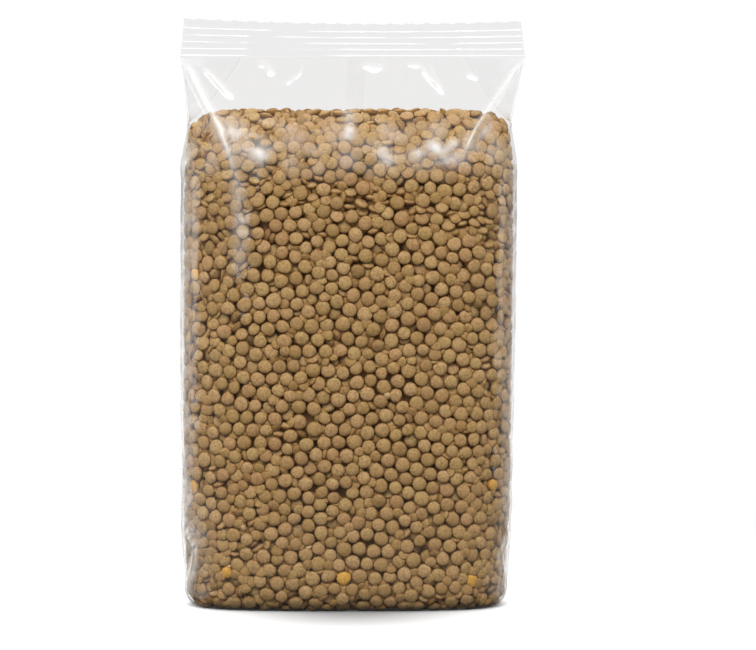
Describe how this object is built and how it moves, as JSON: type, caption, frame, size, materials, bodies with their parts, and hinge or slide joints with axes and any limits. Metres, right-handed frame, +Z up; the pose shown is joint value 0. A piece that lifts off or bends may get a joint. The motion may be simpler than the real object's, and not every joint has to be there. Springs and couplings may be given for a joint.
{
  "type": "bag of lentils",
  "caption": "Sealed clear film bag filled with whole lentils, standing on its flat base, with folded-in sides and a crimped seal across the top.",
  "frame": {"origin": "on the floor under the bag's box, midway between the ends of the top seal and midway between front and back", "axes": "+Z up along the height, +X to the right as seen from the front, +Y away from the viewer through the thin side"},
  "size_m": [0.137, 0.0534, 0.234],
  "materials": {
    "lentils": "satin",
    "film": "gloss"
  },
  "bodies": {
    "root": {"lentils": "lentils", "film": "film"}
  },
  "joints": []
}
